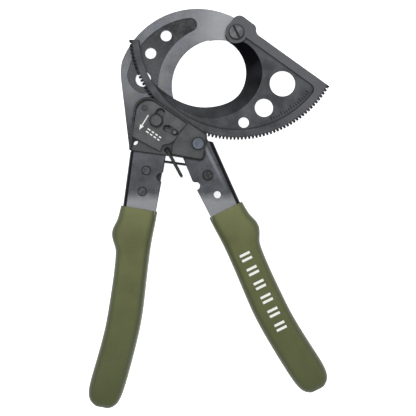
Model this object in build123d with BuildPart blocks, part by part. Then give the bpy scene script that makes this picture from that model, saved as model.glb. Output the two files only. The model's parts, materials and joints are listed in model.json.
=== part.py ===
from build123d import *
import os
from math import atan2, cos, degrees, hypot, radians, sin

# Ratchet cable cutter, lying on its back: +Z is its front, +Y runs from the grips to the jaw.
# The origin is under the middle of the tool, and every size is in millimetres.

os.makedirs("parts", exist_ok=True)

# ---------------------------------------------------------------- driving dimensions
plate = 6.0  # thickness of the jaw and of the blade
sheet = 2.0  # thickness of the pressed arms and of the rear cover
slip = 0.1  # gap between layers that slide on each other
running = 0.05  # radial clearance of a pin that turns in its hole
shear_z = 13.0  # height of the plane where the blade passes the jaw
cover_floor = 3.0  # cover thickness under the face plate
cover_rise = 1.8  # how far the cover's thick part stands above that
face_sheet = 1.6  # thickness of the slotted face plate

pivot = (22.6, 140.6)  # axis of the blade
boss_r = 8.8
pivot_shank_r = 5.0
tip_r, root_r, rim_r = 86.0, 83.8, 78.4  # tooth tips, tooth roots, inside of the toothed rim
pitch = 2  # degrees from tooth to tooth

jaw_centre, jaw_r = (-8.5, 95.4), 64.7
mouth_centre, mouth_r = (8.4, 98.0), 37.5

handle_axis = (-7.9, 51.2)
handle_shank_r = 4.0
hold_axis = (-50.6, 79.4)  # axis of the holding pawl
hold_pin_r = 2.0
drive_axis = (-9.2, 41.8)  # axis of the drive pawl, in the moving arm
drive_stud_r = 2.5
lug_spot, lug_r = (-26.6, 60.2), 1.9
button_spot = (-41.2, 69.4)
button_angle = 61.6  # direction in which the button slides
button_travel = 6.0
bail_axis = (-32.6, 46.4)
bail_end = (-21.4, 25.6)
wire_r = 1.25
rivet_spots = ((-57.2, 70.5), (-40.5, 50.0))
sight_hole, sight_hole_r = (-58.3, 52.6), 2.4
jaw_sight = (-57.5, 51.7)  # the jaw's own hole sits lower, so only a part of it shows

arm_half = 8.15  # half the outside depth of an arm's channel
left_holes = ((-49.4, 30.1), (-52.4, 13.1))
right_holes = ((-0.3, 26.2), (7.4, 10.8))
tether_hole_r = 2.9

# ---------------------------------------------------------------- layers, from back to front
jaw_z = shear_z - slip / 2 - plate
blade_z = shear_z + slip / 2
blade_top = blade_z + plate
front_flange_z = shear_z + arm_half - sheet
rear_flange_z = shear_z - arm_half
cover_z = shear_z + arm_half + slip
cover_top = cover_z + cover_floor
raised_top = cover_top + cover_rise
face_top = cover_top + face_sheet
rear_cover_z = rear_flange_z - slip - sheet
low_pawl_z, high_pawl_z, pawl_sheet = blade_z + 0.2, blade_z + 3.1, 2.6


def polar(radius, angle, centre=pivot):
    """The point at a radius and a counter-clockwise angle in degrees from a centre."""
    return (centre[0] + radius * cos(radians(angle)), centre[1] + radius * sin(radians(angle)))


def toward(start, angle, distance):
    return polar(distance, angle, start)


def heading(start, end):
    return degrees(atan2(end[1] - start[1], end[0] - start[0]))


def arm_plane(holes, side):
    """The middle plane of an arm: x points away from the other arm, y up along the arm."""
    down = Vector(holes[1][0] - holes[0][0], holes[1][1] - holes[0][1]).normalized()
    outward = Vector(-down.Y * side, down.X * side)
    return Plane(origin=(*holes[0], shear_z), x_dir=outward, z_dir=(0, 0, side))


def ring(spot, low, high, outer, inner=0.0, mode=Mode.ADD):
    """Adds to the part being built a disc or a tube that stands between two heights."""
    with BuildSketch(Plane.XY.offset(low)) as face:
        with Locations(spot):
            Circle(outer)
            if inner:
                Circle(inner, mode=Mode.SUBTRACT)
    extrude(face.sketch, amount=high - low, mode=mode)


def drill(spots, radius, top):
    """Drills the part being built straight through at each spot."""
    with Locations(*[(*spot, top) for spot in spots]):
        Hole(radius)


def middle_of(start, end):
    return ((start[0] + end[0]) / 2, (start[1] + end[1]) / 2)


def link(start, end, width):
    """A round-ended bar between two spots, in the sketch being drawn."""
    with Locations(middle_of(start, end)):
        SlotCenterToCenter(hypot(end[0] - start[0], end[1] - start[1]), width, rotation=heading(start, end))


def hex_nut(spot, low, high, half_flats, hole):
    with BuildSketch(Plane.XY.offset(low)) as face:
        with Locations(spot):
            RegularPolygon(half_flats, 6, major_radius=False)
            Circle(hole, mode=Mode.SUBTRACT)
    extrude(face.sketch, amount=high - low)


def coil(spot, low, radius, wire, step, turns):
    """A close-wound spring body around a vertical axis, with its first turn at the height low."""
    with BuildLine(Plane((*spot, low))) as helix:
        Helix(pitch=step, height=step * turns, radius=radius)
    with BuildSketch(Plane(helix.line @ 0, z_dir=helix.line % 0)) as section:
        Circle(wire)
    sweep(section.sketch, path=helix.line)


left_plane = arm_plane(left_holes, -1)
right_plane = arm_plane(right_holes, 1)
hole_step = hypot(right_holes[1][0] - right_holes[0][0], right_holes[1][1] - right_holes[0][1])


# ================================================================ the toothed blade
def tooth_line():
    """Corners of the rim's teeth from the tail to the point, one gap at every even angle."""
    corners = []
    for gap in range(174, 31, -pitch):
        for radius, step in ((tip_r, 0.62), (root_r, 0.22), (root_r, -0.22), (tip_r, -0.62)):
            corners.append(polar(radius, -(gap + step)))
    return corners


tail_y = 134.5
tail_drop = pivot[1] - tail_y
tail_outer = (pivot[0] - (tip_r**2 - tail_drop**2) ** 0.5, tail_y)
tail_inner = (pivot[0] - (rim_r**2 - tail_drop**2) ** 0.5, tail_y)
blade_point = polar(tip_r, -30.2)
back_angle = heading((41.5, 137.1), blade_point)
edge_start, edge_end = (15.2, 133.9), polar(rim_r, -150)
edge_points = ((25.0, 125.3), (30.4, 110.0), (23.0, 89.3), (8.0, 82.1), (-8.0, 81.2), (-25.0, 86.6))
mouth_middle = (3.8, 108.2)
bevel_start, bevel_end = (14.6, 133.0), polar(rim_r - 0.6, -147)
bevel_points = ((30.6, 134.6), (47.0, 114.5), (38.0, 85.6), (16.6, 70.7), (-6.7, 70.0), (-25.6, 79.8))

with BuildPart() as moving_blade:
    with BuildSketch(Plane.XY.offset(blade_z)):
        with BuildLine():
            Polyline(tail_outer, *tooth_line(), blade_point)
            Line(blade_point, (41.5, 137.1))
            ThreePointArc((41.5, 137.1), (39.2, 139.3), (38.4, 142.4))
            ThreePointArc((38.4, 142.4), (37.9, 145.2), (35.9, 147.2))
            Line((35.9, 147.2), (28.8, 152.5))
            ThreePointArc((28.8, 152.5), (24.3, 153.9), (20.4, 151.6))
            Line((20.4, 151.6), (14.3, 143.6))
            ThreePointArc((14.3, 143.6), (13.7, 138.4), edge_start)
            Spline(edge_start, *edge_points, edge_end)
            ThreePointArc(edge_end, polar(rim_r, -163), tail_inner)
            Line(tail_inner, tail_outer)
        make_face()
    extrude(amount=plate)
    # the cutting bevel, from just inside the edge at the back of the blade out to the pocket
    edge_line = (edge_start, *edge_points, edge_end)
    lip_points = [toward(spot, heading(spot, mouth_middle), 0.3) for spot in edge_line]
    with BuildSketch(Plane.XY.offset(blade_z + 0.5)):
        with BuildLine():
            Spline(*lip_points)
            Line(lip_points[-1], lip_points[0])
        make_face()
    with BuildSketch(Plane.XY.offset(blade_top)):
        with BuildLine():
            Spline(bevel_start, *bevel_points, bevel_end)
            Line(bevel_end, bevel_start)
        make_face()
    loft(ruled=True, mode=Mode.SUBTRACT)
    # the shallow pocket in the front, up to the rim, the boss and the straight back
    with BuildSketch(Plane.XY.offset(blade_top)):
        with Locations(pivot):
            Circle(rim_r - 0.4)
            Circle(boss_r, mode=Mode.SUBTRACT)
        with Locations((33.4, 134.2)):
            Rectangle(240, 120, rotation=back_angle, align=(Align.CENTER, Align.MIN), mode=Mode.SUBTRACT)
        with Locations((14, 150)):
            Rectangle(30, 24, mode=Mode.SUBTRACT)
        fillet(vertices().sort_by(Axis.X)[-1], radius=5)
    extrude(amount=-1.3, mode=Mode.SUBTRACT)
    # the boss keeps its full height beside the bevel
    with BuildSketch(Plane.XY.offset(blade_z)):
        with Locations(pivot):
            Circle(boss_r)
    extrude(amount=plate)
    for spot, radius in (((59.5, 99.6), 10.3), ((44.7, 80.3), 7.4), ((28.5, 68.5), 4.3), (pivot, 6.0)):
        with Locations((*spot, blade_top)):
            Hole(radius)
    # plain graduation marks along the rim
    with BuildSketch(Plane.XY.offset(blade_top - 1.3)):
        for mark in range(17):
            long_mark = mark % 4 == 0
            with Locations(polar(rim_r - 3.6 - (0.7 if long_mark else 0), -40 - 1.75 * mark)):
                Rectangle(3.4 if long_mark else 2.0, 0.6, rotation=-40 - 1.75 * mark)
    extrude(amount=-0.35, mode=Mode.SUBTRACT)
moving_blade.part.label = "moving_blade"
export_step(moving_blade.part, "parts/moving_blade.step")

# ================================================================ the fixed jaw
jaw_end = polar(jaw_r, 62, jaw_centre)
jaw_side = polar(jaw_r, 160, jaw_centre)
mouth_low = polar(mouth_r, 216, mouth_centre)
mouth_top = polar(mouth_r, 77, mouth_centre)
bevel_from, bevel_sweep = 102, 128  # the bevel's first angle about the mouth, and how far it goes round


def on_left_arm(x, y):
    spot = left_plane.from_local_coords(Vector(x, y, 0))
    return (spot.X, spot.Y)


tang_outline = ((11.4, 14.0), (10.1, -21.0), (-12.4, -21.0), (-12.6, 13.0))
tang_corners = [on_left_arm(*corner) for corner in tang_outline]

with BuildPart() as fixed_jaw:
    with BuildSketch(Plane.XY.offset(jaw_z)):
        with BuildLine():
            CenterArc(jaw_centre, jaw_r, 62, 98)
            ThreePointArc(jaw_side, (-70.2, 109.4), (-69.7, 101.5))
            Polyline((-69.7, 101.5), (-63.2, 46.8), *tang_corners, (-35.0, 43.4), (-8.0, 42.8))
            Polyline((-8.0, 42.8), (-2.2, 57.6), mouth_low)
            CenterArc(mouth_centre, mouth_r, 216, -139)
            Line(mouth_top, jaw_end)
        make_face()
        with Locations(pivot):
            Circle(8.4)
        with Locations(handle_axis):
            Circle(8.4)
    extrude(amount=plate)
    # the milled pocket in the front
    with BuildSketch(Plane.XY.offset(jaw_z + plate)):
        with BuildLine():
            outer_wall = CenterArc(jaw_centre, 57.6, 96.5, 70.5)
            inner_wall = CenterArc(mouth_centre, 48.8, 186, -71)
            ThreePointArc(outer_wall @ 1, (-60.8, 97.0), (-52.0, 92.2))
            Line((-52.0, 92.2), inner_wall @ 0)
            ThreePointArc(inner_wall @ 1, (-8.9, 147.8), outer_wall @ 0)
        make_face()
    extrude(amount=-1.0, mode=Mode.SUBTRACT)
    # the cutting bevel is ground on the back, and ends before the pivot
    across = polar(1, bevel_from, (0, 0))
    wedge = ((mouth_r - 5, jaw_z - 1), (mouth_r + 11.6, jaw_z - 1), (mouth_r - 1, jaw_z + plate - 0.1))
    with BuildSketch(Plane(origin=(*mouth_centre, 0), x_dir=(*across, 0), z_dir=(across[1], -across[0], 0))):
        with BuildLine():
            Polyline(*wedge, (mouth_r - 5, jaw_z + plate - 0.1), close=True)
        make_face()
    revolve(axis=Axis((*mouth_centre, 0), (0, 0, 1)), revolution_arc=bevel_sweep, mode=Mode.SUBTRACT)
    jaw_holes = [((-33.8, 138.6), 4.5), ((-46.2, 124.5), 4.5), ((-52.2, 103.8), 6.2), (pivot, pivot_shank_r)]
    jaw_holes += [(handle_axis, handle_shank_r), (hold_axis, hold_pin_r), (jaw_sight, sight_hole_r)]
    jaw_holes += [(spot, 2.0) for spot in rivet_spots] + [(spot, 3.0) for spot in left_holes]
    for spot, radius in jaw_holes:
        with Locations((*spot, jaw_z + plate)):
            Hole(radius)
fixed_jaw.part.label = "fixed_jaw"
export_step(fixed_jaw.part, "parts/fixed_jaw.step")

# ================================================================ the blade's pivot
head_top = blade_top + 2.3

with BuildPart() as blade_bushing:
    ring(pivot, blade_z, blade_top, 6.0, pivot_shank_r + running)
blade_bushing.part.label = "blade_bushing"
export_step(blade_bushing.part, "parts/blade_bushing.step")

with BuildPart() as blade_pivot_bolt:
    ring(pivot, 0.5, blade_top + 0.05, pivot_shank_r)
    ring(pivot, blade_top + 0.05, head_top, 6.1)
    chamfer(edges().group_by(Axis.Z)[-1], length=0.5)
    with Locations((*pivot, head_top)):
        Box(1.3, 14, 2.2, rotation=(0, 0, 27), mode=Mode.SUBTRACT)
blade_pivot_bolt.part.label = "blade_pivot_bolt"
export_step(blade_pivot_bolt.part, "parts/blade_pivot_bolt.step")

with BuildPart() as blade_pivot_washer:
    ring(pivot, jaw_z - 1.5, jaw_z, 8.2, pivot_shank_r)
blade_pivot_washer.part.label = "blade_pivot_washer"
export_step(blade_pivot_washer.part, "parts/blade_pivot_washer.step")

with BuildPart() as blade_pivot_nut:
    hex_nut(pivot, 0.0, jaw_z - 1.5, 7.5, pivot_shank_r)
    chamfer(edges().group_by(Axis.Z)[0].filter_by(GeomType.LINE), length=0.6)
blade_pivot_nut.part.label = "blade_pivot_nut"
export_step(blade_pivot_nut.part, "parts/blade_pivot_nut.step")

# ================================================================ front and rear covers
cover_corners = ((-63.0, 46.3), (-57.2, 97.0), (-0.6, 58.6), (-3.8, 37.8), (-27.7, 41.8), (-33.8, 42.3))
step_line = ((-12.0, 72.1), (-15.7, 67.8), (-23.1, 59.2), (-26.7, 53.0), (-28.5, 49.5), (-28.8, 34.0))
slot_middle = toward(button_spot, button_angle, 3.4)
lug_path = ((-26.4, 60.0), (-31.0, 63.2), (-33.4, 63.5))


def cover_sketch(height, inset=0.0):
    with BuildSketch(Plane.XY.offset(height)) as outline:
        with BuildLine():
            Polyline(*cover_corners, close=True)
        make_face()
        for corner, radius in ((1, 11.5), (2, 3.0), (3, 3.2), (0, 1.0)):
            fillet(outline.vertices().sort_by_distance(cover_corners[corner])[0], radius)
        if inset:
            offset(amount=-inset)
    return outline.sketch


def slots_sketch(height, grow=0.0):
    """The straight slot of the button and the bent slot of the pawl's lug."""
    with BuildSketch(Plane.XY.offset(height)) as slots:
        with Locations(slot_middle):
            SlotCenterToCenter(6.9, 7.6 + grow, rotation=button_angle)
        for start, end in zip(lug_path, lug_path[1:]):
            link(start, end, 4.8 + grow)
    return slots.sketch


with BuildPart() as front_cover:
    extrude(cover_sketch(cover_z), amount=cover_floor + cover_rise)
    chamfer(edges().group_by(Axis.Z)[-1], length=1.0)
    with BuildSketch(Plane.XY.offset(cover_top)):
        add(cover_sketch(cover_top, inset=1.7))
        with BuildLine():
            Polyline((-61.1, 50.0), (-61.7, 34.0), (-28.8, 34.0), (-28.8, 50.0), close=True)
        make_face()
        with BuildLine():
            Polyline(*step_line, (-80, 34), (-80, 120), close=True)
        make_face(mode=Mode.INTERSECT)
    extrude(amount=cover_rise + 1, mode=Mode.SUBTRACT)
    extrude(slots_sketch(cover_z, 0.4), amount=cover_floor, mode=Mode.SUBTRACT)
    drill([sight_hole], sight_hole_r, raised_top)
    drill([bail_axis], wire_r + running, raised_top)
    ring(bail_axis, cover_top - 1.2, cover_top, 2.3, mode=Mode.SUBTRACT)
    drill([handle_axis], handle_shank_r, raised_top)
    drill([hold_axis], hold_pin_r, raised_top)
    drill(rivet_spots, 2.0, raised_top)
    for spot in rivet_spots:
        ring(spot, cover_top - 1.0, cover_top, 3.4, mode=Mode.SUBTRACT)
front_cover.part.label = "front_cover"
export_step(front_cover.part, "parts/front_cover.step")

with BuildPart() as face_plate:
    with BuildSketch(Plane.XY.offset(cover_top)):
        with BuildLine():
            Polyline((-16.7, 66.9), (-54.9, 92.6), (-60.2, 56.8), (-37.9, 44.9), (-36.9, 48.4))
            ThreePointArc((-36.9, 48.4), (-36.1, 49.7), (-34.7, 50.4))
            ThreePointArc((-34.7, 50.4), (-28.4, 52.4), (-23.9, 59.2))
            Line((-23.9, 59.2), (-16.7, 66.9))
        make_face()
        fillet(vertices().sort_by_distance((-54.9, 92.6))[0], 10.5)
    extrude(amount=face_sheet)
    extrude(slots_sketch(cover_top), amount=face_sheet, mode=Mode.SUBTRACT)
    drill([hold_axis], hold_pin_r, face_top)
    add(front_cover.part, mode=Mode.SUBTRACT)
face_plate.part.label = "face_plate"
export_step(face_plate.part, "parts/face_plate.step")

with BuildPart() as rear_cover:
    extrude(cover_sketch(rear_cover_z), amount=sheet)
    chamfer(edges().group_by(Axis.Z)[0], length=0.5)
    drill([sight_hole], sight_hole_r, cover_z)
    drill([bail_axis], wire_r + running, cover_z)
    drill([handle_axis], handle_shank_r, cover_z)
    drill([hold_axis, *rivet_spots], 2.0, cover_z)
rear_cover.part.label = "rear_cover"
export_step(rear_cover.part, "parts/rear_cover.step")

with BuildPart() as cover_rivets:
    for spot in rivet_spots:
        ring(spot, rear_cover_z - 0.7, rear_cover_z, 3.2)
        ring(spot, rear_cover_z, cover_top, 2.0)
        ring(spot, cover_top - 1.0, cover_top, 3.4)
cover_rivets.part.label = "cover_rivets"
export_step(cover_rivets.part, "parts/cover_rivets.step")

with BuildPart() as front_spacers:
    for spot in rivet_spots:
        ring(spot, jaw_z + plate, cover_z, 3.4, 2.0)
front_spacers.part.label = "front_spacers"
export_step(front_spacers.part, "parts/front_spacers.step")

with BuildPart() as rear_spacers:
    for spot in (*rivet_spots, hold_axis):
        ring(spot, rear_cover_z + sheet, jaw_z, 3.4, 2.0)
rear_spacers.part.label = "rear_spacers"
export_step(rear_spacers.part, "parts/rear_spacers.step")

# ================================================================ the handle's pin
clip_low, clip_high = 1.5, 2.4

with BuildPart() as handle_pin:
    ring(handle_axis, 0.9, raised_top, handle_shank_r)
    ring(handle_axis, raised_top, raised_top + 1.4, 4.9)
    chamfer(edges().group_by(Axis.Z)[-1], length=0.4)
    ring(handle_axis, clip_low - 0.05, clip_high + 0.05, handle_shank_r + 1, 3.2, mode=Mode.SUBTRACT)
handle_pin.part.label = "handle_pin"
export_step(handle_pin.part, "parts/handle_pin.step")

with BuildPart() as handle_pin_clip:
    with BuildSketch(Plane.XY.offset(clip_low)):
        with Locations(handle_axis):
            Circle(6.4)
            Circle(3.25, mode=Mode.SUBTRACT)
            Rectangle(5.2, 10, align=(Align.CENTER, Align.MAX), mode=Mode.SUBTRACT)
    extrude(amount=clip_high - clip_low)
handle_pin_clip.part.label = "handle_pin_clip"
export_step(handle_pin_clip.part, "parts/handle_pin_clip.step")

with BuildPart() as handle_sleeve:
    ring(handle_axis, jaw_z + plate, front_flange_z - 0.05, 5.0, handle_shank_r)
handle_sleeve.part.label = "handle_sleeve"
export_step(handle_sleeve.part, "parts/handle_sleeve.step")

# ================================================================ the arms: one stamping and its mirror image
outer_side = ((13.4, -32), (12.4, -50), (8.3, -80), (7.4, -120), (9.4, -158), (9.8, -176))
inner_side = ((-6.6, -176), (-9.4, -158), (-12.0, -120), (-11.5, -80), (-11.6, -50), (-12.8, -32), (-13.1, 0))
notch_spot, notch_r = (-12.2, -3.4), 3.2
notch_from, notch_to, notch_width = (-16.1, 2.2), (-11.7, -2.6), 3.2  # the way by which the bail comes in
bend_r = 3.8


def arm_body(plane, top, web_corner, lobe=None):
    """A channel open on its inner side, from its top corners down into the grip."""
    with BuildSketch(plane) as outline:
        with BuildLine():
            Polyline(web_corner, *outer_side, *inner_side, *top, close=True)
        make_face()
        if lobe:
            with Locations(lobe):
                Circle(8.0)
        with Locations(notch_spot):
            Circle(notch_r, mode=Mode.SUBTRACT)
        with Locations(middle_of(notch_from, notch_to)):
            SlotCenterToCenter(6.5, notch_width, rotation=heading(notch_from, notch_to), mode=Mode.SUBTRACT)
    extrude(outline.sketch, amount=arm_half, both=True)
    corners = (web_corner, *outer_side)
    middles = [((a[0] + b[0]) / 2, (a[1] + b[1]) / 2) for a, b in zip(corners, corners[1:])]
    bends = [
        edges().sort_by_distance(plane.from_local_coords(Vector(*middle, face)))[0]
        for middle in middles
        for face in (-arm_half, arm_half)
    ]
    fillet(bends, radius=bend_r)
    web_inside = [(x - sheet, y) for x, y in corners]
    with BuildSketch(plane) as hollow:
        with BuildLine():
            Polyline((-40, 60), (40, 60), (40, web_corner[1]), *web_inside, (-40, -176), close=True)
        make_face()
    extrude(hollow.sketch, amount=arm_half - sheet, both=True, mode=Mode.SUBTRACT)


handle_lobe = right_plane.to_local_coords(Vector(*handle_axis, shear_z))
handle_lobe = (handle_lobe.X, handle_lobe.Y)

with BuildPart() as left_arm:
    arm_body(left_plane, ((-12.8, 17.5), (12.0, 17.5)), (15.2, 12.4))
    drill(left_holes, 3.0, cover_z)
left_arm.part.label = "left_arm"
export_step(left_arm.part, "parts/left_arm.step")

with BuildPart() as right_arm:
    arm_body(right_plane, ((-11.5, 21.0), (-3.6, 26.0), (4.4, 33.0), (11.9, 24.8)), (15.7, 22.0), handle_lobe)
    drill([right_holes[0]], 2.5, cover_z)
    drill([right_holes[1]], tether_hole_r, cover_z)
    drill([handle_axis], handle_shank_r + running, cover_z)
    with Locations((*drive_axis, cover_z)):
        Hole(drive_stud_r, depth=arm_half)
right_arm.part.label = "right_arm"
export_step(right_arm.part, "parts/right_arm.step")

rivet_rise = 0.55
with BuildPart() as left_arm_rivets:
    for spot in left_holes:
        ring(spot, rear_flange_z - rivet_rise, cover_z - slip + rivet_rise, 3.0)
        ring(spot, rear_flange_z - rivet_rise, rear_flange_z, 3.7)
        ring(spot, cover_z - slip, cover_z - slip + rivet_rise, 3.7)
    chamfer(edges().group_by(Axis.Z)[-1], length=0.45)
left_arm_rivets.part.label = "left_arm_rivets"
export_step(left_arm_rivets.part, "parts/left_arm_rivets.step")

with BuildPart() as tang_spacer:
    with BuildSketch(left_plane) as block:
        with Locations((0.5, -hole_step)):
            RectangleRounded(18, 8, 2)
    extrude(block.sketch, amount=shear_z - front_flange_z)
    with Locations((*left_holes[1], cover_z)):
        Hole(3.0)
    split(bisect_by=Plane.XY.offset(jaw_z + plate), keep=Keep.TOP)
tang_spacer.part.label = "tang_spacer"
export_step(tang_spacer.part, "parts/tang_spacer.step")

# ================================================================ grips
# distance down from the upper hole, middle, width and half thickness of each section
grip_sections = (
    (31, 0.5, 29.7, 10.4), (42, 0.9, 30.2, 11.4), (48, 2.0, 32.0, 11.9), (54, 2.4, 32.6, 12.3),
    (60, 1.4, 30.7, 12.6), (66, -0.3, 27.7, 12.9), (74, -1.1, 26.9, 13.0),
    (90, -2.1, 26.7, 13.0), (112, -3.0, 27.6, 13.0), (130, -2.9, 27.4, 13.0),
    (150, -1.4, 27.7, 13.0), (168, 0.4, 28.0, 13.0), (180, 1.6, 27.1, 12.8), (187, 1.9, 23.5, 11.2),
    (191, 1.9, 16.5, 8.0), (193, 1.9, 8.0, 4.0),
)


def grip_body(plane, steel):
    faces_along = []
    for down, middle, width, half in grip_sections:
        origin = plane.from_local_coords(Vector(middle, -down, 0))
        with BuildSketch(Plane(origin=origin, x_dir=plane.x_dir, z_dir=-plane.y_dir)) as section:
            RectangleRounded(width, 2 * half, min(8.0, 0.6 * half))
        faces_along.append(section.sketch.face())
    loft(faces_along, ruled=True)
    add(steel, mode=Mode.SUBTRACT)


with BuildPart() as left_grip:
    grip_body(left_plane, left_arm.part)
left_grip.part.label = "left_grip"
export_step(left_grip.part, "parts/left_grip.step")

with BuildPart() as right_grip:
    grip_body(right_plane, right_arm.part)
right_grip.part.label = "right_grip"
export_step(right_grip.part, "parts/right_grip.step")

# ================================================================ the pawls
lift = 6.0  # degrees that the holding pawl turns between the teeth and its lifted place


def lifted(spot):
    reach = hypot(spot[0] - hold_axis[0], spot[1] - hold_axis[1])
    return toward(hold_axis, heading(hold_axis, spot) - lift, reach)


nose_corners = (
    (86.9, 125.2), (86.4, 124.35), (84.3, 124.1), (84.3, 123.9), (86.4, 123.65),
    (87.3, 122.7), (89.5, 123.2),
)
hold_nose = [polar(radius, -angle) for radius, angle in nose_corners]

with BuildPart() as holding_pawl:
    with BuildSketch(Plane.XY.offset(low_pawl_z)):
        with BuildLine():
            Polyline(*[lifted(spot) for spot in ((-49.4, 82.3), *hold_nose, (-51.6, 76.7))], close=True)
        make_face()
        with Locations(hold_axis):
            Circle(4.0)
            Circle(hold_pin_r + running, mode=Mode.SUBTRACT)
    extrude(amount=pawl_sheet)
holding_pawl.part.label = "holding_pawl"
export_step(holding_pawl.part, "parts/holding_pawl.step")

with BuildPart() as holding_pawl_pin:
    ring(hold_axis, rear_cover_z - 0.7, rear_cover_z, 3.0)
    ring(hold_axis, rear_cover_z, face_top + 0.3, hold_pin_r)
holding_pawl_pin.part.label = "holding_pawl_pin"
export_step(holding_pawl_pin.part, "parts/holding_pawl_pin.step")

with BuildPart() as holding_pawl_spring:
    coil(hold_axis, high_pawl_z + 0.5, 2.9, 0.35, 0.8, 2.5)
holding_pawl_spring.part.label = "holding_pawl_spring"
export_step(holding_pawl_spring.part, "parts/holding_pawl_spring.step")

drive_nose = polar(tip_r + 0.6, -128)
back = heading(drive_nose, lug_spot)

with BuildPart() as drive_pawl:
    with BuildSketch(Plane.XY.offset(high_pawl_z)):
        link(drive_axis, lug_spot, 4.2)
        link(lug_spot, toward(drive_nose, back, 3.0), 4.2)
        with BuildLine():
            Polyline(drive_nose, toward(drive_nose, back - 38, 4.4), toward(drive_nose, back + 24, 4.6),
                     close=True)
        make_face()
        with Locations(drive_axis):
            Circle(4.1)
            Circle(drive_stud_r + running, mode=Mode.SUBTRACT)
        with Locations(lug_spot):
            Circle(3.2)
            Circle(lug_r, mode=Mode.SUBTRACT)
    extrude(amount=pawl_sheet)
drive_pawl.part.label = "drive_pawl"
export_step(drive_pawl.part, "parts/drive_pawl.step")

with BuildPart() as pawl_lug:
    ring(lug_spot, high_pawl_z, face_top + 0.4, lug_r)
    chamfer(edges().group_by(Axis.Z)[-1], length=0.4)
pawl_lug.part.label = "pawl_lug"
export_step(pawl_lug.part, "parts/pawl_lug.step")

with BuildPart() as drive_pawl_stud:
    ring(drive_axis, blade_z + 0.05, blade_z + 0.6, 3.8)
    ring(drive_axis, blade_z + 0.6, cover_z - slip, drive_stud_r)
drive_pawl_stud.part.label = "drive_pawl_stud"
export_step(drive_pawl_stud.part, "parts/drive_pawl_stud.step")

with BuildPart() as drive_pawl_spring:
    coil(drive_axis, blade_z + 1.1, 3.2, 0.35, 0.75, 2.0)
drive_pawl_spring.part.label = "drive_pawl_spring"
export_step(drive_pawl_spring.part, "parts/drive_pawl_spring.step")

# ================================================================ the release slide
cam_spot = toward(button_spot, button_angle + 180, 5.4)

with BuildPart() as slider_bar:
    with BuildSketch(Plane.XY.offset(front_flange_z + 0.05)):
        link(button_spot, cam_spot, 8.8)
    extrude(amount=sheet)
    ring(cam_spot, low_pawl_z, front_flange_z + 0.05, 1.5)
slider_bar.part.label = "slider_bar"
export_step(slider_bar.part, "parts/slider_bar.step")

with BuildPart() as release_button:
    ring(button_spot, front_flange_z + 0.05 + sheet, face_top + 0.15, 3.4)
    ring(button_spot, face_top + 0.15, face_top + 3.6, 5.0)
    chamfer(edges().group_by(Axis.Z)[-1], length=0.7)
release_button.part.label = "release_button"
export_step(release_button.part, "parts/release_button.step")

# ================================================================ the wire lock bail
bail_length = hypot(bail_end[0] - bail_axis[0], bail_end[1] - bail_axis[1])
bail_front = cover_top + 0.15 + wire_r
bail_back = rear_cover_z - 0.15 - wire_r
bail_across = polar(1, heading(bail_axis, bail_end), (0, 0))
bail_normal = (bail_across[1], -bail_across[0], 0)
bail_plane = Plane(origin=(*bail_axis, 0), x_dir=(*bail_across, 0), z_dir=bail_normal)

with BuildPart() as lock_bail:
    with BuildLine(bail_plane) as bail_line:
        FilletPolyline(
            (0, cover_z + 0.3), (0, bail_front), (bail_length, bail_front), (bail_length, bail_back),
            (0, bail_back), (0, rear_cover_z + sheet - 0.2), radius=1.6,
        )
    with BuildSketch(Plane(bail_line.line @ 0, z_dir=bail_line.line % 0)):
        Circle(wire_r)
    sweep()
lock_bail.part.label = "lock_bail"
export_step(lock_bail.part, "parts/lock_bail.step")

# ================================================================ the return spring and its screw
screw_spot = right_holes[0]
spring_r, spring_wire = 6.1, 1.0
leg_z = 16.4
leg_turn = 82.0  # the leg leaves the coil at this angle

with BuildPart() as spring_screw:
    ring(screw_spot, rear_flange_z - 2.2, cover_z - slip, 2.5)
    ring(screw_spot, cover_z - slip, cover_z - slip + 2.1, 3.9)
    fillet(edges().group_by(Axis.Z)[-1], radius=1.1)
    for turn in (20, 110):
        with Locations((*screw_spot, cover_z - slip + 2.1)):
            Box(1.0, 4.8, 2.4, rotation=(0, 0, turn), mode=Mode.SUBTRACT)
spring_screw.part.label = "spring_screw"
export_step(spring_screw.part, "parts/spring_screw.step")

with BuildPart() as spring_nut:
    hex_nut(screw_spot, rear_flange_z - 1.9, rear_flange_z, 4.2, 2.5)
spring_nut.part.label = "spring_nut"
export_step(spring_nut.part, "parts/spring_nut.step")

with BuildPart() as spring_sleeve:
    ring(screw_spot, rear_flange_z + sheet, front_flange_z, 4.0, 2.5)
spring_sleeve.part.label = "spring_sleeve"
export_step(spring_sleeve.part, "parts/spring_sleeve.step")

with BuildPart() as return_spring:
    coil(screw_spot, 8.0, spring_r, spring_wire, 2.06, 3.0)
return_spring.part.label = "return_spring"
export_step(return_spring.part, "parts/return_spring.step")

with BuildPart() as return_spring_leg:
    with BuildLine(Plane((*screw_spot, leg_z))) as leg_line:
        CenterArc((0, 0), spring_r, leg_turn - 190, 190)
        Line(polar(spring_r, leg_turn, (0, 0)), toward(polar(spring_r, leg_turn, (0, 0)), leg_turn + 90, 43))
    with BuildSketch(Plane(leg_line.line @ 0, z_dir=leg_line.line % 0)):
        Circle(spring_wire)
    sweep()
return_spring_leg.part.label = "return_spring_leg"
export_step(return_spring_leg.part, "parts/return_spring_leg.step")
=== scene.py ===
# %% [markdown]
# # A ratchet cable cutter
# The tool lies on its back: a toothed blade swings over a hooked jaw, a ratchet
# works under a small cover, and two pressed arms end in dipped vinyl grips.
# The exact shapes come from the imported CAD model, which is loaded first. All
# that is made here rides on its bodies, so the tool still moves when it is posed.

import json
from math import radians

import bmesh
import bpy
from mathutils import Matrix, Vector
from mathutils.bvhtree import BVHTree


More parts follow.
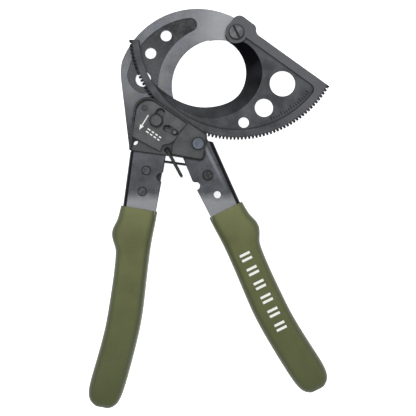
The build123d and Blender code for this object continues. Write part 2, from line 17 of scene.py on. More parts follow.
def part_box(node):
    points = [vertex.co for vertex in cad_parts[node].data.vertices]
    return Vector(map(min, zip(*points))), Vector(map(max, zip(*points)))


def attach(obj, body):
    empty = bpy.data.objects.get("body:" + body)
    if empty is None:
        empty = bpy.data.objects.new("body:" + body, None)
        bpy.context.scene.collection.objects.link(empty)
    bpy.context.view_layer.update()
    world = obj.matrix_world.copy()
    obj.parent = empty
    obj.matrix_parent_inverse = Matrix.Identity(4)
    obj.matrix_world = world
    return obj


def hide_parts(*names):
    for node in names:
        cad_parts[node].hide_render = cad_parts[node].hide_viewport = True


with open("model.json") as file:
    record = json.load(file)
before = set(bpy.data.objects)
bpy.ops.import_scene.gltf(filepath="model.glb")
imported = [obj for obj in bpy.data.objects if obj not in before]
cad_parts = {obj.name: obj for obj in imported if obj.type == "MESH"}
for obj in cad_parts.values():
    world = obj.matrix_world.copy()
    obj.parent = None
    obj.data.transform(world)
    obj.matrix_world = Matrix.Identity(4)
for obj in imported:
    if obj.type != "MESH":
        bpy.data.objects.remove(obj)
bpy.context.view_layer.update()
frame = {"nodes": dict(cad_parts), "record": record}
nodes = frame["nodes"]
mounts = {m["name"]: m for m in frame["record"]["mounts"]}
mm = 0.001

# %% [markdown]
# ## Camera
# A tool like this is shown from straight above. A long lens keeps the thick grips
# and the thin jaw at one scale. The lens sees a fixed share of its distance, so
# the height follows from how wide the view should be at the blade's front.

# %% The camera
scene = bpy.context.scene
view_width = 332.8 * mm
lens, sensor = 120.0, 36.0
sharp_height = 17 * mm
camera_data = bpy.data.cameras.new("camera")
camera_data.lens = lens
camera_data.sensor_width = sensor
camera = bpy.data.objects.new("camera", camera_data)
camera.location = (-0.1 * mm, 0.1 * mm, sharp_height + view_width * lens / sensor)
scene.collection.objects.link(camera)
scene.camera = camera
print("camera height in m:", round(camera.location.z, 3))

# %% [markdown]
# ## Helpers
# A mesh can be typed in by hand or grown with operators. Here each new piece grows
# in a bmesh, and one helper makes it an object. A finish is a small network of
# shader nodes. The same few steps come back in each: a noise pattern, a range that
# is mapped onto another, a mix of two colours. Each step gets a helper with a plain
# name, so that a finish reads like a recipe.


# %% A helper that turns a bmesh into an object
def make_object(name, bm, finish, smooth=True):
    """Writes the bmesh into a new object at the origin and gives it its finish."""
    mesh = bpy.data.meshes.new(name)
    for face in bm.faces:
        face.smooth = smooth
    bm.to_mesh(mesh)
    bm.free()
    mesh.materials.append(finish)
    made = bpy.data.objects.new(name, mesh)
    scene.collection.objects.link(made)
    print(name, "has", len(mesh.polygons), "faces")
    return made


# %% Helpers that add shader nodes
def put(tree, kind, inputs=None, **settings):
    """Adds a shader node, sets its options, and fills its sockets with values or links."""
    made = tree.nodes.new("ShaderNode" + kind)
    for key, value in settings.items():
        setattr(made, key, value)
    for key, value in (inputs or {}).items():
        if isinstance(value, bpy.types.NodeSocket):
            tree.links.new(value, made.inputs[key])
        else:
            made.inputs[key].default_value = value
    return made


def new_finish(name, **shader):
    """A material with one Principled shader, whose sockets are set by name."""
    finish = bpy.data.materials.new(name)
    finish.use_nodes = True
    tree = finish.node_tree
    surface = tree.nodes["Principled BSDF"]
    for key, value in shader.items():
        surface.inputs[key.replace("_", " ")].default_value = value
    return finish, tree, surface


# %% Helpers that say where a place is and which way it faces
def place_on(tree):
    """Object coordinates, which stay with a piece when its body moves."""
    return put(tree, "TexCoord").outputs["Object"]


def split(tree, vector):
    """The X, Y and Z of a place or a direction."""
    return put(tree, "SeparateXYZ", {0: vector}).outputs


def facing_up(tree):
    """How much a face looks straight up: 1 on a flat top and 0 on a side."""
    return split(tree, put(tree, "NewGeometry").outputs["Normal"])["Z"]


def along(tree, direction):
    """How far a place lies along a direction, in metres."""
    sockets = {0: place_on(tree), 1: direction}
    return put(tree, "VectorMath", sockets, operation="DOT_PRODUCT").outputs["Value"]


def middle_of(node):
    """The middle of a CAD node's box."""
    return sum(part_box(node), Vector()) / 2


# %% Helpers for patterns and mixes
def grain(tree, size, detail=2.0, stretch=(1, 1, 1), turn=0.0):
    """A noise pattern whose spots are about this size in metres, from 0 to 1."""
    turned = {"Vector": place_on(tree), "Rotation": (0, 0, radians(turn))}
    place = put(tree, "Mapping", turned).outputs[0]
    place = put(tree, "Mapping", {"Vector": place, "Scale": stretch}).outputs[0]
    return put(tree, "TexNoise", {"Vector": place, "Scale": 1 / size, "Detail": detail}).outputs[0]


def spread(tree, value, low, high, to_low=0.0, to_high=1.0):
    """Maps the range low to high onto another range, and holds the ends."""
    sockets = {"Value": value, "From Min": low, "From Max": high}
    return put(tree, "MapRange", {**sockets, "To Min": to_low, "To Max": to_high}).outputs[0]


def mixed(tree, share, first, second):
    """A colour between two others, each an RGB triple or a socket."""
    sides = [(*c, 1.0) if isinstance(c, tuple) else c for c in (first, second)]
    return put(tree, "Mix", {0: share, 6: sides[0], 7: sides[1]}, data_type="RGBA").outputs[2]


def combined(tree, operation, first, second=0.0):
    """Two numbers made into one by the named operation."""
    return put(tree, "Math", {0: first, 1: second}, operation=operation).outputs[0]


# %% [markdown]
# ## Floor and light
# A pale table and a wide lamp above it give the even light of a catalogue page.
# The table glows a little of its own, as a light table does, so that the shadow
# under the tool stays faint and the holes in the steel read as open. A smaller
# lamp from one side keeps the slopes of the grips from looking flat.

# %% The floor
floor_half, floor_gap = 3.0, 0.1 * mm
floor_finish, floor_tree, floor_surface = new_finish("floor_paper", Roughness=0.9)
floor_surface.inputs["Specular IOR Level"].default_value = 0.1
floor_colour = mixed(floor_tree, grain(floor_tree, 0.4), (0.90, 0.90, 0.90), (0.93, 0.93, 0.93))
floor_tree.links.new(floor_colour, floor_surface.inputs["Base Color"])
floor_surface.inputs["Emission Color"].default_value = (0.97, 0.98, 1.0, 1)
floor_surface.inputs["Emission Strength"].default_value = 0.85
floor_mesh = bmesh.new()
bmesh.ops.create_grid(floor_mesh, x_segments=1, y_segments=1, size=floor_half)
bmesh.ops.translate(floor_mesh, verts=floor_mesh.verts, vec=(0, 0, -floor_gap))
floor = make_object("floor", floor_mesh, floor_finish, smooth=False)

# %% The lamps
room = bpy.data.worlds.new("room")
room.use_nodes = True
sky = room.node_tree.nodes["Background"]
sky.inputs["Color"].default_value = (0.96, 0.98, 1.0, 1)
sky.inputs["Strength"].default_value = 0.8
scene.world = room
for name, spot, size, power in (
    ("wide_lamp", (-0.45, 0.45, 1.9), 1.6, 11.0),
    ("side_lamp", (1.3, -0.2, 1.0), 0.7, 4.0),
):
    lamp_data = bpy.data.lights.new(name, "AREA")
    lamp_data.shape = "SQUARE"
    lamp_data.size = size
    lamp_data.energy = power
    lamp = bpy.data.objects.new(name, lamp_data)
    lamp.location = spot
    lamp.rotation_euler = (-Vector(spot)).to_track_quat("-Z", "Y").to_euler()
    scene.collection.objects.link(lamp)
scene.view_settings.view_transform = "Standard"

# %% [markdown]
# ## Steel
# Every steel piece has the same few traits. Its colour drifts slowly, a finer
# grain lies over that, painted shade darkens the creases, and a dark outline of
# painted shade runs along the rounded corners. Where a finish gives a side colour,
# painted shade also darkens the faces that turn from straight up. A texture image
# could carry all of that, but it would have to be unwrapped onto every plate. One
# helper builds it from patterns instead, and each finish only sets its own colours
# and sizes. The painted crease shade comes from an Ambient Occlusion node and the
# painted corner shade from a Bevel node, which both work on the CAD triangles as
# they are.

# %% The colours that every steel shares
# Painted shade colours for the rounded corners, the creases and the faces that turn from straight
# up.
corner_shade_black = (0.012, 0.012, 0.013)
crease_shade_black = (0.006, 0.006, 0.007)
side_shade_black = (0.008, 0.008, 0.009)
print("the darkest steel colour:", crease_shade_black)


# %% The colour of a steel
def steel_colour(tree, low, high, drift, fine, brush):
    """Slow drift between two colours, a fine darker grain, and brushed lines."""
    colour = mixed(tree, spread(tree, grain(tree, drift * mm, 3.0), 0.35, 0.65), low, high)
    speck = grain(tree, fine * mm, 2.0)
    darker = tuple(0.72 * c for c in low)
    colour = mixed(tree, spread(tree, speck, 0.35, 0.7, 0.0, 0.45), colour, darker)
    if brush:
        stretch, turn, amount = brush
        lines = grain(tree, 1.0 * mm, 3.0, stretch, turn)
        lighter = tuple(min(1.0, 1.45 * c) for c in high)
        colour = mixed(tree, spread(tree, lines, 0.4, 0.75, 0.0, amount), colour, lighter)
    return colour, speck


# %% The steel helper
def steel(name, low, high, metallic=0.8, roughness=0.42, drift=14, fine=0.35, brush=None,
          side=None, side_from=0.96, side_soft=0.08, crease_shade=0.75, crease_reach=1.6, corner_shade=0.7,
          round_off=0.9, bump=0.25):
    """A steel finish. Colours are RGB triples, and lengths are in mm."""
    finish, tree, surface = new_finish(name, Metallic=metallic)
    colour, speck = steel_colour(tree, low, high, drift, fine, brush)
    rounded = put(tree, "Bevel", {"Radius": round_off * mm}, samples=4).outputs[0]
    flat = put(tree, "NewGeometry").outputs["Normal"]
    bend = put(tree, "VectorMath", {0: rounded, 1: flat}, operation="DOT_PRODUCT").outputs["Value"]
    # Painted shade: a dark outline where the Bevel node finds a rounded corner.
    colour = mixed(tree, spread(tree, bend, 0.995, 0.9, 0.0, corner_shade), colour, corner_shade_black)
    # Painted shade: faces that turn away from straight up are darkened toward the side colour.
    if side:
        height = split(tree, flat)["Z"]
        colour = mixed(tree, spread(tree, height, side_from, side_from - side_soft), colour, side)
    # Painted shade: creases that the Ambient Occlusion node finds are darkened toward near black.
    reach = {"Distance": crease_reach * mm}
    shelter = put(tree, "AmbientOcclusion", reach, samples=8).outputs["AO"]
    colour = mixed(tree, spread(tree, shelter, 0.93, 0.5, 0.0, crease_shade), colour, crease_shade_black)
    tree.links.new(colour, surface.inputs["Base Color"])
    dull_spots = grain(tree, 3 * fine * mm, 3.0)
    rough = spread(tree, dull_spots, 0.3, 0.7, roughness - 0.07, roughness + 0.1)
    tree.links.new(rough, surface.inputs["Roughness"])
    softened = put(tree, "Bevel", {"Radius": 0.3 * mm}, samples=4).outputs[0]
    sockets = {"Height": speck, "Normal": softened, "Strength": bump, "Distance": 0.05 * mm}
    tree.links.new(put(tree, "Bump", sockets).outputs[0], surface.inputs["Normal"])
    return finish, tree, surface, colour


# %% [markdown]
# ## Jaw steel
# The jaw is ground bright and has faint blue and brown stains from hardening. A
# painted highlight brightens it by the pivot, and painted shade darkens it toward
# the cover and the tang. Its pocket was milled and then blackened. One finish
# serves the whole plate: masks say where each part begins, because the plate is
# one CAD node.

# %% The ground steel and its stains
jaw_finish, jaw_tree, jaw_surface, jaw_colour = steel(
    "jaw_steel", (0.092, 0.094, 0.101), (0.15, 0.152, 0.159), metallic=0.85, roughness=0.36,
    drift=22, brush=((9, 0.6, 1), 62, 0.3), side=(0.03, 0.03, 0.033), crease_shade=0.9,
    crease_reach=1.2, corner_shade=0.6,
)
blue_stain, brown_stain = (0.085, 0.10, 0.15), (0.155, 0.14, 0.12)
stain = grain(jaw_tree, 9 * mm, 3.0)
blue_share = spread(jaw_tree, stain, 0.56, 0.72, 0.0, 0.35)
jaw_colour = mixed(jaw_tree, blue_share, jaw_colour, blue_stain)
brown_share = spread(jaw_tree, stain, 0.44, 0.30, 0.0, 0.25)
jaw_colour = mixed(jaw_tree, brown_share, jaw_colour, brown_stain)
print("stains:", blue_stain, brown_stain)

# %% The painted shade toward the cover and the painted highlight by the pivot
pivot = middle_of("blade_bushing")
cover_middle = middle_of("front_cover")
toward_pivot = (pivot - cover_middle).normalized()
by_cover = toward_pivot.dot(cover_middle)
up_jaw = along(jaw_tree, toward_pivot)
# Painted shade: the jaw darkens toward the cover and the tang.
jaw_shade_share = spread(jaw_tree, up_jaw, by_cover + 12 * mm, by_cover - 22 * mm, 0.0, 0.85)
jaw_colour = mixed(jaw_tree, jaw_shade_share, jaw_colour, (0.026, 0.026, 0.028))
jaw_place = split(jaw_tree, place_on(jaw_tree))
# Painted highlight: the jaw brightens near the pivot, high up the jaw.
near_pivot = spread(jaw_tree, jaw_place["X"], -18 * mm, 10 * mm, 0.0, 0.9)
high_on_jaw = spread(jaw_tree, up_jaw, 90 * mm, 115 * mm)
jaw_highlight_share = combined(jaw_tree, "MULTIPLY", near_pivot, high_on_jaw)
jaw_colour = mixed(jaw_tree, jaw_highlight_share, jaw_colour, (0.25, 0.255, 0.266))
print("the cover's middle is this far up the jaw, in mm:", round(by_cover / mm, 1))

# %% The blackened pocket of the jaw
front_of_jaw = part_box("fixed_jaw")[1].z
below_front = (front_of_jaw - 0.4 * mm, front_of_jaw - 0.6 * mm)
in_pocket = spread(jaw_tree, jaw_place["Z"], *below_front)
pocket_mottle = spread(jaw_tree, grain(jaw_tree, 5 * mm, 4.0), 0.3, 0.7, 0.0, 0.6)
pocket_light = spread(jaw_tree, up_jaw, 100 * mm, 66 * mm, 0.0, 0.8)
pocket_share = combined(jaw_tree, "MAXIMUM", pocket_mottle, pocket_light)
pocket_colour = mixed(jaw_tree, pocket_share, (0.018, 0.0185, 0.02), (0.07, 0.07, 0.074))
jaw_colour = mixed(jaw_tree, in_pocket, jaw_colour, pocket_colour)
jaw_tree.links.new(jaw_colour, jaw_surface.inputs["Base Color"])
print("jaw finish has", len(jaw_tree.nodes), "nodes")

# %% [markdown]
# ## Blade steel
# The blade is phosphated almost black. Its hollow-ground bevel is the darkest
# part, a painted dark reflection that is blackest near the pivot, where the flat
# beside it is rubbed paler. The ring of teeth is darkened to near black. The slope
# of a face tells the bevel from the flat, and the distance from the pivot tells
# where the teeth begin.

# %% The phosphated steel
blade_finish, blade_tree, blade_surface, blade_colour = steel(
    "blade_steel", (0.033, 0.0335, 0.036), (0.082, 0.083, 0.089), metallic=0.6, roughness=0.45,
    drift=13, fine=0.45, brush=((5, 0.8, 1), -32, 0.18), crease_shade=0.97, crease_reach=2.4, corner_shade=0.85,
)
blade_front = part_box("moving_blade")[1].z
blade_place = split(blade_tree, place_on(blade_tree))
blade_up = facing_up(blade_tree)
sloped = spread(blade_tree, blade_up, 0.985, 0.95)
toward_back = combined(blade_tree, "ADD", blade_place["X"], blade_place["Y"])
print("front of the blade in mm:", round(blade_front / mm, 1))

# %% The rubbed flat and the painted dark reflection on the bevel
at_front = (blade_front - 0.5 * mm, blade_front - 0.2 * mm)
on_top = spread(blade_tree, blade_place["Z"], *at_front)
near_back = spread(blade_tree, toward_back, 120 * mm, 160 * mm, 0.0, 0.75)
pale_share = combined(blade_tree, "MULTIPLY", near_back, on_top)
level = spread(blade_tree, blade_up, 0.97, 0.995)
pale_share = combined(blade_tree, "MULTIPLY", pale_share, level)
blade_colour = mixed(blade_tree, pale_share, blade_colour, (0.10, 0.10, 0.105))
# Painted reflection: the sloped bevel faces are darkened toward black.
bevel_reflection_share = spread(blade_tree, toward_back, 75 * mm, 150 * mm, 0.2, 1.0)
bevel_reflection_share = combined(blade_tree, "MULTIPLY", bevel_reflection_share, sloped)
blade_colour = mixed(blade_tree, bevel_reflection_share, blade_colour, (0.004, 0.004, 0.005))
# The painted reflection also raises the metallic weight, which keeps it black.
bevel_metal = spread(blade_tree, bevel_reflection_share, 0.0, 1.0, 0.6, 1.0)
blade_tree.links.new(bevel_metal, blade_surface.inputs["Metallic"])
print("the pale flat begins at", at_front)

# %% The darkened teeth
tooth_root, tooth_flank = 83.0 * mm, 84.4 * mm
to_pivot = {0: place_on(blade_tree), 1: pivot}
from_pivot = put(blade_tree, "VectorMath", to_pivot, operation="DISTANCE").outputs["Value"]
tooth_share = spread(blade_tree, from_pivot, tooth_root, tooth_flank, 0.0, 0.92)
# The ring of teeth is darkened to the same near black as the painted crease shade.
blade_colour = mixed(blade_tree, tooth_share, blade_colour, crease_shade_black)
blade_tree.links.new(blade_colour, blade_surface.inputs["Base Color"])
print("blade finish has", len(blade_tree.nodes), "nodes")

# %% [markdown]
# ## Covers, pins and small parts
# The covers are dark and matte, and the handle pin is zinc plated and a little
# blue. The springs, the lock bail and the spring's screw are oiled almost black.
# These pieces need no masks, so a table of values for the steel helper is enough.

# %% The plain steels
# These finishes take the helper's painted shade in creases and on corners, and on faces that turn
# from straight up where a side colour is given.
plain_looks = {
    "cover_steel": dict(
        low=(0.047, 0.047, 0.048), high=(0.075, 0.075, 0.076), metallic=0.3, roughness=0.5,
        drift=11, side=side_shade_black, crease_shade=0.97, crease_reach=2.2, corner_shade=0.93, round_off=1.4),
    "face_steel": dict(
        low=(0.056, 0.056, 0.058), high=(0.09, 0.09, 0.093), metallic=0.35, roughness=0.46,
        drift=8, side=side_shade_black, crease_shade=0.97, crease_reach=2.2, corner_shade=0.93, round_off=1.2),
    "slider_steel": dict(
        low=(0.06, 0.06, 0.062), high=(0.09, 0.09, 0.093), metallic=0.35, roughness=0.46,
        crease_shade=0.25),
    "pin_zinc": dict(
        low=(0.072, 0.084, 0.105), high=(0.115, 0.13, 0.155), metallic=0.75, roughness=0.38,
        drift=2.5, side=(0.01, 0.01, 0.012), crease_shade=0.95, crease_reach=2.2, corner_shade=0.9),
    "rivet_steel": dict(
        low=(0.04, 0.042, 0.048), high=(0.075, 0.08, 0.09), metallic=0.7, roughness=0.4,
        drift=3, side=side_shade_black, crease_shade=0.95, corner_shade=0.9),
    "bolt_steel": dict(
        low=(0.075, 0.075, 0.077), high=(0.15, 0.15, 0.153), metallic=0.6, roughness=0.42,
        drift=4, side=side_shade_black, crease_shade=0.97, crease_reach=2.4, corner_shade=0.9),
    "black_steel": dict(
        low=(0.012, 0.012, 0.013), high=(0.026, 0.026, 0.028), metallic=0.35, roughness=0.24,
        drift=4, crease_shade=0.9, corner_shade=0.5, round_off=0.4),
    "pawl_steel": dict(
        low=(0.07, 0.07, 0.073), high=(0.12, 0.12, 0.123), metallic=0.8, roughness=0.36, drift=5),
    "spring_wire": dict(
        low=(0.008, 0.008, 0.009), high=(0.02, 0.02, 0.022), metallic=0.6, roughness=0.3,
        drift=4, corner_shade=0.3),
    "bushing_bronze": dict(
        low=(0.30, 0.20, 0.09), high=(0.42, 0.29, 0.14), metallic=0.9, roughness=0.35, drift=4),
}
finishes = {name: steel(name, **look)[0] for name, look in plain_looks.items()}
print("plain steels:", list(finishes))

# %% [markdown]
# ## Arm steel
# The arms are bent from blued sheet. A painted highlight brightens them just
# above the grips, and the moving arm has one soft painted highlight streak along
# its outer side. Both are masks over one finish: the height on the tool with a
# little waviness, and the distance from a line beside the two holes of the moving
# arm. Their sides carry painted shade that makes them nearly black.

# %% The blued steel and the painted highlight above the grips
# The side colour here is painted shade on the faces that turn from straight up.
arm_finish, arm_tree, arm_surface, arm_colour = steel(
    "arm_steel", (0.036, 0.037, 0.041), (0.078, 0.080, 0.090), metallic=0.8, roughness=0.34,
    drift=12, brush=((1.6, 0.14, 1), 18, 0.18), side=(0.005, 0.005, 0.006), side_from=0.995,
    side_soft=0.04, crease_shade=0.95, crease_reach=2.0, corner_shade=0.85,
)
highlight_above, highlight_full = 17 * mm, 9 * mm
arm_place = split(arm_tree, place_on(arm_tree))
arm_wave = combined(arm_tree, "MULTIPLY", grain(arm_tree, 14 * mm, 2.0), 9 * mm)
arm_height = combined(arm_tree, "ADD", arm_place["Y"], arm_wave)
# Painted highlight: the level faces just above the grips are lightened.
highlight_share = spread(arm_tree, arm_height, highlight_above, highlight_full, 0.0, 0.85)
arm_level = spread(arm_tree, facing_up(arm_tree), 0.96, 0.995)
highlight_share = combined(arm_tree, "MULTIPLY", highlight_share, arm_level)
arm_colour = mixed(arm_tree, highlight_share, arm_colour, (0.205, 0.207, 0.215))
# This prints the height where the painted highlight starts.
print("the worn part starts at height", highlight_above)

# %% The painted highlight streak on the moving arm
streak_out, streak_edge, streak_core = 8.3 * mm, 1.9 * mm, 0.5 * mm
upper_hole = middle_of("spring_sleeve")
down_arm = Vector(mounts["tether_hole"]["pos_m"]) - upper_hole
outward = Vector((-down_arm.y, down_arm.x, 0)).normalized()
streak_middle = outward.dot(upper_hole) + streak_out
off_streak = combined(arm_tree, "SUBTRACT", along(arm_tree, outward), streak_middle)
off_streak = combined(arm_tree, "ABSOLUTE", off_streak)
highlight_streak = spread(arm_tree, off_streak, streak_edge, streak_core, 0.0, 0.6)
on_moving_arm = spread(arm_tree, arm_place["X"], -14 * mm, -11 * mm)
highlight_streak = combined(arm_tree, "MULTIPLY", highlight_streak, on_moving_arm)
upper_arm = spread(arm_tree, arm_place["Y"], 12 * mm, 36 * mm)
highlight_streak = combined(arm_tree, "MULTIPLY", highlight_streak, upper_arm)
# Painted highlight: a soft lighter streak along the outer side of the moving arm.
arm_colour = mixed(arm_tree, highlight_streak, arm_colour, (0.19, 0.196, 0.215))
arm_tree.links.new(arm_colour, arm_surface.inputs["Base Color"])
print("arm finish has", len(arm_tree.nodes), "nodes")

# %% [markdown]
# ## From finish to piece
# Each CAD node names a material slot, such as the steel of the covers. The finishes
# carry the same names, so one loop gives each node its own. The slider bar shares
# its slot with the face plate, but it lies deep in the cover's opening, where the
# painted crease shade of that finish would turn it black. So it gets one with faint
# painted crease shade.

# %% Give each CAD node the finish of its slot
finishes.update(arm_steel=arm_finish, jaw_steel=jaw_finish, blade_steel=blade_finish)
finished = [p for p in frame["record"]["subparts"] if p["material_slot"] in finishes]
for part in finished:
    node_finishes = nodes[part["node"]].data.materials
    node_finishes.clear()
    node_finishes.append(finishes[part["material_slot"]])
nodes["slider_bar"].data.materials[0] = finishes["slider_steel"]
print("finished nodes:", len(finished))

# %% [markdown]
# ## The grips
# Real grips like these are dipped: warm steel goes into liquid vinyl and comes
# out in a thick soft coat with no sharp corner. A rounded outline is extruded
# from section to section down the arm, and a Subdivision Surface turns the run
# of sections into one skin. Subdivision pulls each bulge in a little, so the
# sections are first pushed out by the same amount.

# %% Where the arms are
rivet_head = 3.7 * mm
low_corner, high_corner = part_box("left_arm_rivets")
left_holes = (
    Vector((high_corner.x - rivet_head, high_corner.y - rivet_head, upper_hole.z)),
    Vector((low_corner.x + rivet_head, low_corner.y + rivet_head, upper_hole.z)),
)
right_holes = (upper_hole, Vector((*mounts["tether_hole"]["pos_m"][:2], upper_hole.z)))


def arm_matrix(holes, side):
    """Turns arm places (outward, up the arm, to the front) into places on the tool."""
    down = (holes[1] - holes[0]).normalized()
    out = Vector((-down.y * side, down.x * side, 0))
    axes = Matrix((out, -down, Vector((0, 0, 1)))).transposed().to_4x4()
    return Matrix.Translation(holes[0]) @ axes


left_arm_place = arm_matrix(left_holes, -1)
right_arm_place = arm_matrix(right_holes, 1)
print("arms start at", left_holes[0][:2], right_holes[0][:2])

# %% The sections of a grip
# distance down from the arm's upper hole, middle, width and half thickness in mm
grip_sections = (
    (31, 0.5, 29.7, 10.4), (42, 0.9, 30.2, 11.4), (48, 2.0, 32.0, 11.9), (54, 2.4, 32.6, 12.3),
    (60, 1.4, 30.7, 12.6), (66, -0.3, 27.7, 12.9), (74, -1.1, 26.9, 13.0), (90, -2.1, 26.7, 13.0),
    (112, -3.0, 27.6, 13.0), (130, -2.9, 27.4, 13.0), (150, -1.4, 27.7, 13.0),
    (168, 0.4, 28.0, 13.0), (180, 1.6, 27.1, 12.8), (188, 1.9, 22.5, 10.8), (192, 1.9, 14.0, 7.0),
)


def pushed_out(before, here, after):
    """A section moved so that the smoothed skin passes through the real one."""
    return tuple(b - (a + c - 2 * b) / 6 for a, b, c in zip(before, here, after))


trios = zip(grip_sections, grip_sections[1:], grip_sections[2:])
skin_sections = [grip_sections[0], *(pushed_out(*trio) for trio in trios), grip_sections[-1]]
print("grip length in mm:", grip_sections[-1][0] - grip_sections[0][0])


# %% The open skin of a grip
def grip_tube(sections, corner_round):
    """Extrudes the rounded outline from section to section, open at the mouth."""
    bm = bmesh.new()
    last = sections[0]
    bmesh.ops.create_grid(bm, x_segments=1, y_segments=1, size=0.5)
    bmesh.ops.scale(bm, vec=(last[2], 2 * last[3], 1), verts=bm.verts)
    bmesh.ops.bevel(
        bm, geom=bm.verts[:], offset=corner_round, offset_type="OFFSET", affect="VERTICES",
        segments=4, profile=0.5, material=-1,
    )
    cap = bm.faces[:][0]
    bmesh.ops.translate(bm, vec=(last[1], 0, last[0]), verts=bm.verts)
    for section in sections[1:]:
        cap = bmesh.ops.extrude_discrete_faces(bm, faces=[cap])["faces"][0]
        step = [new - old for new, old in zip(section, last)]
        bmesh.ops.translate(bm, vec=(step[1], 0, step[0]), verts=cap.verts)
        bmesh.ops.scale(
            bm, vec=(section[2] / last[2], section[3] / last[3], 1), verts=cap.verts,
            space=Matrix.Translation((-section[1], 0, -section[0])),
        )
        last = section
    return bm, cap


# %% Build the grips
corner_round = 7.0
end_inset, end_rise = 1.6, 0.9
mouth_insets = ((0.25, 0.0), (0.5, 0.0), (0.3, -0.3))


def build_grip(name, place, body, node, finish):
    """Closes the extruded skin at both ends, lays it on its arm and smooths it."""
    bm, cap = grip_tube(skin_sections, corner_round)
    # close the round end, then close the mouth with a lip that dips in round the arm
    bmesh.ops.inset_region(bm, faces=[cap], thickness=end_inset, depth=end_rise)
    rim = [e for e in bm.edges if e.is_boundary]
    mouth = bmesh.ops.contextual_create(bm, geom=rim)["faces"]
    for inset, rise in mouth_insets:
        bmesh.ops.inset_region(bm, faces=mouth, thickness=inset, depth=rise)
    # section space is (outward, thickness, down), and arm space is (outward, up, front)
    to_arm = Matrix(((mm, 0, 0, 0), (0, 0, -mm, 0), (0, mm, 0, 0), (0, 0, 0, 1)))
    bmesh.ops.transform(bm, matrix=place @ to_arm, verts=bm.verts)
    bmesh.ops.recalc_face_normals(bm, faces=bm.faces)
    grip = make_object(name, bm, finish)
    smoother = grip.modifiers.new("smooth skin", "SUBSURF")
    smoother.levels = smoother.render_levels = 3
    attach(grip, body)
    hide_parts(node)
    return grip


# %% [markdown]
# ## Vinyl
# Dipped vinyl has a soft satin face with a fine pebble, which is a small change in
# colour, gloss and height. Its colour carries a painted highlight at the mouth and
# on the steepest faces of the sides, and painted shade down the sides. It is also
# darker toward the round end.

# %% The vinyl and its pebble
vinyl, vinyl_tree, vinyl_surface = new_finish("grip_vinyl", Metallic=0.0)
vinyl_surface.inputs["Specular IOR Level"].default_value = 0.35
pebble = grain(vinyl_tree, 1.0 * mm, 3.0)
cloud = spread(vinyl_tree, grain(vinyl_tree, 16 * mm, 3.0), 0.35, 0.65)
vinyl_colour = mixed(vinyl_tree, cloud, (0.078, 0.086, 0.023), (0.098, 0.107, 0.032))
vinyl_speck = spread(vinyl_tree, pebble, 0.35, 0.7, 0.0, 0.35)
vinyl_colour = mixed(vinyl_tree, vinyl_speck, vinyl_colour, (0.128, 0.138, 0.052))
vinyl_rough = spread(vinyl_tree, pebble, 0.3, 0.7, 0.46, 0.62)
vinyl_tree.links.new(vinyl_rough, vinyl_surface.inputs["Roughness"])
pebble_height = {"Height": pebble, "Strength": 0.7, "Distance": 0.2 * mm}
vinyl_bump = put(vinyl_tree, "Bump", pebble_height).outputs[0]
vinyl_tree.links.new(vinyl_bump, vinyl_surface.inputs["Normal"])
print("vinyl so far has", len(vinyl_tree.nodes), "nodes")

# %% Painted highlight at the mouth and rim, a darker end, painted shade on the sides
up_grip = split(vinyl_tree, place_on(vinyl_tree))["Y"]
# Painted highlight: the vinyl is lighter toward the mouth.
mouth_highlight = spread(vinyl_tree, up_grip, -25 * mm, 0, 0.0, 0.5)
vinyl_colour = mixed(vinyl_tree, mouth_highlight, vinyl_colour, (0.19, 0.20, 0.08))
near_end = spread(vinyl_tree, up_grip, -40 * mm, -150 * mm, 0.0, 0.55)
vinyl_colour = mixed(vinyl_tree, near_end, vinyl_colour, (0.040, 0.050, 0.014))
vinyl_up = facing_up(vinyl_tree)
# Painted shade: faces that turn from straight up are darker.
vinyl_side_shade = spread(vinyl_tree, vinyl_up, 0.985, 0.7, 0.0, 0.8)
vinyl_colour = mixed(vinyl_tree, vinyl_side_shade, vinyl_colour, (0.035, 0.044, 0.015))
# Painted highlight: the steepest faces of the sides are lightened like a rim light.
rim_highlight = spread(vinyl_tree, vinyl_up, 0.42, 0.1, 0.0, 0.7)
vinyl_colour = mixed(vinyl_tree, rim_highlight, vinyl_colour, (0.125, 0.142, 0.052))
vinyl_tree.links.new(vinyl_colour, vinyl_surface.inputs["Base Color"])
print("vinyl has", len(vinyl_tree.nodes), "nodes")

# %% Both grips
left_grip_skin = build_grip("left_grip_skin", left_arm_place, "frame", "left_grip", vinyl)
right_grip_skin = build_grip("right_grip_skin", right_arm_place, "handle", "right_grip", vinyl)

# %% [markdown]
# ## Printed marks
# A row of plain white bars is printed on the moving grip, and a white arrow
# with two rows of dashes is printed on the face plate. Print has almost no
# thickness, so each mark is a thin patch laid a hair above the surface. On the
# round grip a small grid is dropped straight down onto the skin, and on the flat
# plate a few corners are enough.

# %% White ink
ink, ink_tree, ink_surface = new_finish("white_ink", Roughness=0.5)
ink_wear = spread(ink_tree, grain(ink_tree, 0.7 * mm, 2.0), 0.4, 0.75)
ink_colour = mixed(ink_tree, ink_wear, (0.86, 0.86, 0.82), (0.66, 0.67, 0.60))
ink_tree.links.new(ink_colour, ink_surface.inputs["Base Color"])
ink_gap = 0.05 * mm


def thicken(piece, thickness):
    """Gives flat patches the thickness of a coat of ink."""
    coat = piece.modifiers.new("ink thickness", "SOLIDIFY")
    coat.thickness = thickness
    coat.offset = 0


print("ink lies above its surface by, in mm:", ink_gap / mm)


# %% The row of bars on the grip
def drop_onto(bm, target, lift):
    """Moves every corner straight down onto the target's finished skin, and a bit above it."""
    skin = BVHTree.FromObject(target, bpy.context.evaluated_depsgraph_get())
    for corner in bm.verts:
        hit = skin.ray_cast(Vector((corner.co.x, corner.co.y, 0.1)), Vector((0, 0, -1)))[0]
        corner.co.z = hit.z + lift


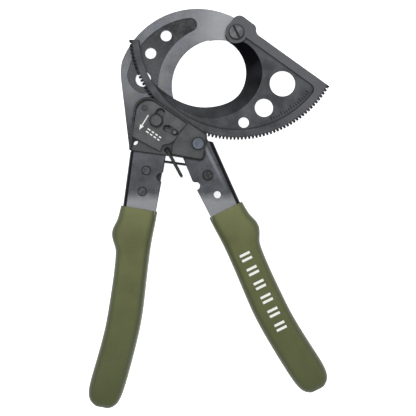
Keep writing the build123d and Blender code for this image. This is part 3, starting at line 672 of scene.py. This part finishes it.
bar_across, bar_along, bar_off_middle, bar_half_step = 8.8, 2.1, -1.9, 2.1
first_mark, last_mark, mark_count = 71.5, 133.0, 6
bars = bmesh.new()
for mark in range(mark_count):
    for side_step in (-bar_half_step, bar_half_step):
        down = first_mark + (last_mark - first_mark) * mark / (mark_count - 1) + side_step
        bar_place = right_arm_place @ Matrix.Translation((bar_off_middle * mm, -down * mm, 0))
        bar_place = bar_place @ Matrix.Diagonal((bar_across * mm, bar_along * mm, 1, 1))
        bmesh.ops.create_grid(bars, x_segments=8, y_segments=3, size=0.5, matrix=bar_place)
drop_onto(bars, right_grip_skin, ink_gap)
grip_bars = make_object("grip_bars", bars, ink)
thicken(grip_bars, 0.08 * mm)
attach(grip_bars, "handle")

# %% The arrow on the face plate
plate_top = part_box("face_plate")[1].z
arrow_tail, arrow_tip = Vector((-47.4, 73.8)), Vector((-54.7, 62.2))
shaft_half, head_half, head_length = 0.45, 1.7, 4.2


def flat_patch(bm, corners):
    """A flat face through these places, in mm, just above the face plate."""
    made = [bm.verts.new((x * mm, y * mm, plate_top + ink_gap)) for x, y in corners]
    bmesh.ops.contextual_create(bm, geom=made)


label = bmesh.new()
arrow_way = (arrow_tip - arrow_tail).normalized()
arrow_side = Vector((-arrow_way.y, arrow_way.x))
shaft_end = arrow_tip - head_length * arrow_way
beside, wing = shaft_half * arrow_side, head_half * arrow_side
flat_patch(label, [arrow_tail + beside, arrow_tail - beside, shaft_end - beside, shaft_end + beside])
flat_patch(label, [arrow_tip, shaft_end + wing, shaft_end - wing])
print("arrow length in mm:", round((arrow_tip - arrow_tail).length, 1))

# %% The dashes beside the arrow
label_turn = Matrix.Rotation(radians(-35), 2)
first_dash, dash_tall, row_step = Vector((-49.6, 60.7)), 1.05, 2.4
dash_columns = ((0.0, 2.6), (3.9, 2.2), (7.4, 2.2), (10.9, 2.0))
for step, length in dash_columns:
    for row in (0.0, row_step):
        start = first_dash + label_turn @ Vector((step, row))
        wide, tall = label_turn @ Vector((length, 0)), label_turn @ Vector((0, dash_tall))
        flat_patch(label, [start, start + wide, start + wide + tall, start + tall])
bmesh.ops.recalc_face_normals(label, faces=label.faces)
face_label = make_object("face_label", label, ink, smooth=False)
thicken(face_label, 0.06 * mm)
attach(face_label, "frame")
